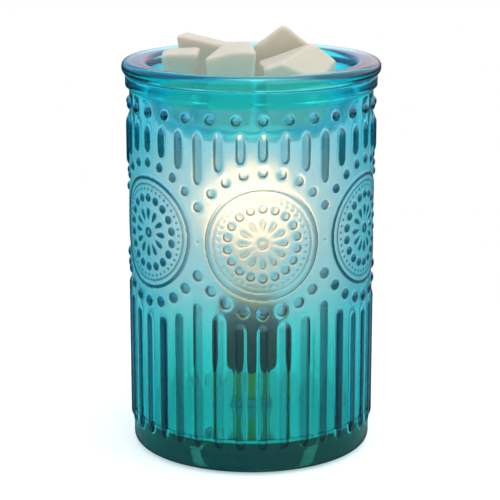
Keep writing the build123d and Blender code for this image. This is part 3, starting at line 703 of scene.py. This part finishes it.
def closeWalls(body, ends):
    low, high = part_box("glass_body")
    collar, mouth, bottom = high[0], high[2], low[2]
    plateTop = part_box("lamp_plate")[1][2]
    radius = bodyRelief["wallRadius"]
    inner = radius - bodyRelief["wallThickness"]
    footInner = inner + ends["footWidening"]
    footRadius = radius - ends["footInset"]
    lip = bottom + ends["footLip"]
    levels = rowLevels(bodyRelief["rowBands"])
    rows = bodyRelief["insideRows"]
    under, edge, heel = ends["collarRound"], ends["mouthRound"], ends["footRound"]
    upper = [(radius, mouth - ends["neckDrop"]), (radius + ends["slopeOut"], mouth - ends["slopeDrop"])]
    belowCollar = (collar - under, mouth - ends["collarDrop"])
    upper += arcPoints(belowCollar, under, ends["collarStart"], 0, ends["collarSteps"])
    upper += arcPoints((collar - edge, mouth - edge), edge, 0, 90, ends["mouthSteps"])
    upper += [(inner + 2 * edge, mouth)]
    upper += arcPoints((inner + edge, mouth - edge), edge, 90, 180, ends["mouthSteps"])
    upper += [(inner, mouth - (mouth - plateTop) * (i + 1) / rows) for i in range(rows)]
    upper += [(footInner, plateTop), (footInner, lip)]
    lower = [(footRadius, levels[0] - ends["footDrop"])]
    lower += arcPoints((footRadius - heel, bottom + heel), heel, 0, -90, ends["footSteps"])
    lower += [(footInner + ends["footFlat"], bottom)]
    selectVertices(body, lambda co: co.z > levels[-1] - near)
    for ring in upper:
        drawRing(body, *ring)
    bpy.ops.object.mode_set(mode="OBJECT")
    outside = radius - ends["wallDepth"]
    selectVertices(body, lambda co: co.z < levels[0] + near and co.x ** 2 + co.y ** 2 > outside ** 2)
    for ring in lower:
        drawRing(body, *ring)
    bpy.ops.object.mode_set(mode="OBJECT")
    # the two open edges meet under the foot
    meeting = footInner + ends["footFlat"] + 5 * near
    selectVertices(body, lambda co: co.z < lip + near and sqrt(co.x ** 2 + co.y ** 2) < meeting)
    bpy.ops.mesh.bridge_edge_loops()
    bpy.ops.mesh.select_all(action="SELECT")
    bpy.ops.mesh.normals_make_consistent(inside=False)
    bpy.ops.object.mode_set(mode="OBJECT")


notchShape = {"radius": 4.6 * mm, "headroom": 0.3 * mm, "depth": 12 * mm, "steps": 48}


def cutNotch(body, shape):
    # the arched notch for the cord gland, at the back of the foot
    low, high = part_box("cord_gland")
    level = (low[2] + high[2]) / 2 + shape["headroom"]
    bpy.ops.mesh.primitive_cylinder_add(
        vertices=shape["steps"], radius=shape["radius"], depth=shape["depth"],
        location=(0, high[1], level), rotation=(pi / 2, 0, 0),
    )
    arch = bpy.context.object
    applyPlace(arch)
    selectVertices(arch, lambda co: co.z < level - near)
    bpy.ops.transform.translate(value=(0, 0, -level))
    bpy.ops.object.mode_set(mode="OBJECT")
    applyModifier(body, "BOOLEAN", object=arch, operation="DIFFERENCE", solver="FAST")
    bpy.data.objects.remove(arch)


def buildGlassBody():
    mould = buildMould()
    sheet = pressSheet(mould)
    bpy.data.objects.remove(mould)
    body = wrapSheet(sheet)
    closeWalls(body, bodyEnds)
    cutNotch(body, notchShape)
    selectOnly(body)
    bpy.ops.object.shade_smooth_by_angle(angle=radians(bodyRelief["smoothAngle"]))
    body.data.materials.clear()
    body.data.materials.append(tealGlass)
    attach(body, "base")
    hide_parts("glass_body")


buildGlassBody()
print("glass body pressed")


# the dish is an outline with rounded corners, spun round the axis
dishShape = {
    "rimRound": 3.0 * mm, "lipRound": 1.6 * mm, "innerRound": 6.0 * mm, "bottomRound": 9.0 * mm,
    "seatRound": 0.7 * mm, "bowlRadius": 44.4 * mm, "bowlFoot": 39.6 * mm, "rimInner": 42.95 * mm,
    "floorRadius": 36.35 * mm, "floor": 4.0 * mm, "rimFall": 1.0 * mm,
    "steps": 168, "segments": 8,
    "smoothAngle": 50,          # degrees
}


def spinOutline(name, corners, shape):
    # corners are (radius, level, rounding); the first and last lie on the axis
    mesh = bpy.data.meshes.new(name)
    edges = [(i, i + 1) for i in range(len(corners) - 1)]
    mesh.from_pydata([(r, 0, z) for r, z, rounding in corners], edges, [])
    piece = bpy.data.objects.new(name, mesh)
    scene.collection.objects.link(piece)
    for r, z, rounding in corners:
        if rounding:
            selectVertices(piece, lambda co: (co - Vector((r, 0, z))).length < near)
            bpy.ops.mesh.bevel(
                offset=rounding, offset_type="OFFSET", segments=shape["segments"], affect="VERTICES",
            )
            bpy.ops.object.mode_set(mode="OBJECT")
    selectVertices(piece, lambda co: True)
    bpy.ops.mesh.spin(steps=shape["steps"], angle=2 * pi, center=(0, 0, 0), axis=(0, 0, 1))
    bpy.ops.mesh.select_all(action="SELECT")
    bpy.ops.mesh.remove_doubles(threshold=near / 2)
    bpy.ops.mesh.normals_make_consistent(inside=False)
    bpy.ops.object.mode_set(mode="OBJECT")
    selectOnly(piece)
    bpy.ops.object.shade_smooth_by_angle(angle=radians(shape["smoothAngle"]))
    return piece


def buildDish(shape):
    low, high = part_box("glass_dish")
    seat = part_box("glass_body")[1][2]
    rim = min(high[0], high[1], -low[0], -low[1])
    floor = low[2] + shape["floor"]
    corners = (
        (0, low[2], 0),
        (shape["bowlFoot"], low[2], shape["bottomRound"]),
        (shape["bowlRadius"], seat, shape["seatRound"]),
        (rim, seat, shape["rimRound"]),
        (rim, high[2], shape["rimRound"]),
        (shape["rimInner"], high[2] - shape["rimFall"], shape["lipRound"]),
        (shape["floorRadius"], floor, shape["innerRound"]),
        (0, floor, 0),
    )
    dish = spinOutline("glassDish", corners, shape)
    dish.data.materials.append(dishGlass)
    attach(dish, "dish")
    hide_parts("glass_dish")


buildDish(dishShape)
print("dish spun")


# each cast block of wax is remeshed, worn soft and left slightly uneven
waxShape = {
    "voxel": 0.8 * mm, "wear": 6, "wearShare": 0.5, "midLevel": 0.6,
    # depth and size of the waves and of the pits
    "unevenness": ((0.5 * mm, 11 * mm), (0.12 * mm, 2.5 * mm)),
}


def buildWax(nodeName, shape):
    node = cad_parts[nodeName]
    first, *others = nodeName.split("_")
    chunk = bpy.data.objects.new(first + "".join(word.title() for word in others), node.data.copy())
    scene.collection.objects.link(chunk)
    selectVertices(chunk, lambda co: True)
    bpy.ops.mesh.remove_doubles(threshold=near)
    bpy.ops.object.mode_set(mode="OBJECT")
    applyModifier(chunk, "REMESH", mode="VOXEL", voxel_size=shape["voxel"])
    applyModifier(chunk, "SMOOTH", factor=shape["wearShare"], iterations=shape["wear"])
    for depth, size in shape["unevenness"]:
        clouds = bpy.data.textures.new("waxUneven", "CLOUDS")
        clouds.noise_scale = size
        applyModifier(
            chunk, "DISPLACE", texture=clouds, strength=depth, mid_level=shape["midLevel"],
            texture_coords="LOCAL",
        )
    selectOnly(chunk)
    bpy.ops.object.shade_smooth()
    chunk.data.materials.clear()
    chunk.data.materials.append(castWax)
    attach(chunk, "wax")
    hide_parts(nodeName)


for nodeName in [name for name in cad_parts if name.startswith("wax_")]:
    buildWax(nodeName, waxShape)
print("wax broken")


floorSettings = {
    "colour": "#F4F4F3", "roughness": 0.9, "specular": 0.1,
    "fibre": 2.0 * mm, "fibreDepth": 0.1 * mm, "fibreShare": 0.05,
    "lift": 0.34,               # glow that keeps the paper white to the eye, and leaves the shadow
    "card": 0.85,               # share hidden from reflections
    "reach": 0.32, "fade": 0.09, "corners": 96,
}


def buildFloor(settings):
    # white paper that keeps a soft shadow and fades into the white surround
    bpy.ops.mesh.primitive_circle_add(
        vertices=settings["corners"], radius=settings["reach"], fill_type="NGON", location=(0, 0, 0),
    )
    floor = bpy.context.object
    floor.name = "studioFloor"
    material, tree = newMaterial("matPaperFloor")
    place = addNode(tree, "ShaderNodeTexCoord")
    fibres = addNode(
        tree, "ShaderNodeTexNoise", {"Scale": 1 / settings["fibre"]}, {"Vector": place.outputs["Object"]},
    )
    bump = addNode(
        tree, "ShaderNodeBump", {"Strength": settings["fibreShare"], "Distance": settings["fibreDepth"]},
        {"Height": fibres.outputs["Fac"]},
    )
    rays = addNode(tree, "ShaderNodeLightPath")
    seen = addNode(
        tree, "ShaderNodeMath", {},
        {0: rays.outputs["Is Camera Ray"], 1: rays.outputs["Is Transmission Ray"]}, operation="MAXIMUM",
    )
    lift = addNode(tree, "ShaderNodeMath", {1: settings["lift"]}, {0: seen.outputs[0]}, operation="MULTIPLY")
    colour = linearColour(settings["colour"])
    paper = addNode(
        tree, "ShaderNodeBsdfPrincipled",
        {
            "Base Color": colour, "Roughness": settings["roughness"],
            "Specular IOR Level": settings["specular"], "Emission Color": colour,
        },
        {"Normal": bump.outputs["Normal"], "Emission Strength": lift.outputs[0]},
    )
    fromAxis = addNode(tree, "ShaderNodeVectorMath", {}, {0: place.outputs["Object"]}, operation="LENGTH")
    fade = addNode(
        tree, "ShaderNodeMapRange", {"From Min": settings["fade"], "From Max": settings["reach"]},
        {"Value": fromAxis.outputs["Value"]}, interpolation_type="SMOOTHSTEP",
    )
    # a dark card in front of the lens keeps the paper out of the reflections
    carded = addNode(
        tree, "ShaderNodeMath", {1: settings["card"]}, {0: rays.outputs["Is Glossy Ray"]},
        operation="MULTIPLY",
    )
    hidden = addNode(
        tree, "ShaderNodeMath", {}, {0: fade.outputs["Result"], 1: carded.outputs[0]}, operation="MAXIMUM",
    )
    clear = addNode(tree, "ShaderNodeBsdfTransparent")
    faded = addNode(
        tree, "ShaderNodeMixShader", {},
        {"Fac": hidden.outputs[0], 1: paper.outputs["BSDF"], 2: clear.outputs["BSDF"]},
    )
    addNode(tree, "ShaderNodeOutputMaterial", {}, {"Surface": faded.outputs["Shader"]})
    floor.data.materials.append(material)


surround = {
    "white": "#FFFFFF", "ceiling": "#D2D6D8", "ceilingFrom": 0.25, "ceilingTo": 0.9,
    "ambient": 0.62,            # light on matt surfaces
    "mirrored": 0.1, "overhead": 1.6, "overheadFrom": -0.05, "overheadTo": 0.2,     # seen in reflections
    "lustreLeft": "#92D2F4", "lustreRight": "#F6E6EA", "lustreSpan": 0.16,
}


def buildSurround(settings):
    # white to the eye, greyer overhead through the glass, and dark with a bright top in reflections
    world = bpy.data.worlds.new("whiteSurround")
    scene.world = world
    world.use_nodes = True
    tree = world.node_tree
    tree.nodes.clear()
    white = linearColour(settings["white"])
    rays = addNode(tree, "ShaderNodeLightPath")
    place = addNode(tree, "ShaderNodeTexCoord")
    split = addNode(tree, "ShaderNodeSeparateXYZ", {}, {"Vector": place.outputs["Generated"]})
    fade = addNode(
        tree, "ShaderNodeMapRange", {"From Min": settings["ceilingFrom"], "From Max": settings["ceilingTo"]},
        {"Value": split.outputs["Z"]},
    )
    sky = addNode(
        tree, "ShaderNodeMix", {6: white, 7: linearColour(settings["ceiling"])},
        {0: fade.outputs["Result"]}, data_type="RGBA",
    )
    above = addNode(
        tree, "ShaderNodeMapRange",
        {
            "From Min": settings["overheadFrom"], "From Max": settings["overheadTo"],
            "To Min": settings["mirrored"], "To Max": settings["overhead"],
        },
        {"Value": split.outputs["Z"]},
    )
    across = addNode(
        tree, "ShaderNodeMapRange", {"From Min": -settings["lustreSpan"], "From Max": settings["lustreSpan"]},
        {"Value": split.outputs["X"]},
    )
    lustre = addNode(
        tree, "ShaderNodeMix",
        {6: linearColour(settings["lustreLeft"]), 7: linearColour(settings["lustreRight"])},
        {0: across.outputs["Result"]}, data_type="RGBA",
    )
    shown = addNode(tree, "ShaderNodeBackground", {"Color": white, "Strength": settings["ambient"]})
    mirrored = addNode(
        tree, "ShaderNodeBackground", {}, {"Color": lustre.outputs[2], "Strength": above.outputs["Result"]},
    )
    through = addNode(tree, "ShaderNodeBackground", {"Strength": 1.0}, {"Color": sky.outputs[2]})
    backdrop = addNode(tree, "ShaderNodeBackground", {"Color": white, "Strength": 1.0})
    for ray, source in (
        ("Is Glossy Ray", mirrored), ("Is Transmission Ray", through), ("Is Camera Ray", backdrop),
    ):
        shown = addNode(
            tree, "ShaderNodeMixShader", {},
            {"Fac": rays.outputs[ray], 1: shown.outputs[0], 2: source.outputs[0]},
        )
    addNode(tree, "ShaderNodeOutputWorld", {}, {"Surface": shown.outputs[0]})


lampAim = (0, 0, 0.1)
lamps = (
    # name, place, width, height, power, colour, whether it casts a shadow and is mirrored
    ("topSoftbox", (0.1, -0.16, 0.97), 0.8, 0.8, 3.4, "#FFFFFF", True),
    ("leftStrip", (-0.75, -0.42, 0.42), 0.16, 0.8, 1.6, "#F3F8FF", False),
    ("rightStrip", (0.7, -0.5, 0.42), 0.22, 0.8, 1.7, "#FFFAF2", False),
)


def addLamps(rows):
    for name, place, width, height, power, colour, shades in rows:
        data = bpy.data.lights.new(name, "AREA")
        data.shape = "RECTANGLE"
        data.size = width
        data.size_y = height
        data.energy = power
        data.color = linearColour(colour)[:3]
        data.use_shadow = shades
        lamp = bpy.data.objects.new(name, data)
        scene.collection.objects.link(lamp)
        lamp.location = place
        lamp.visible_glossy = shades
        aim = Vector(lampAim) - Vector(place)
        lamp.rotation_euler = aim.to_track_quat("-Z", "Y").to_euler()


buildFloor(floorSettings)
buildSurround(surround)
addLamps(lamps)
print("studio set")
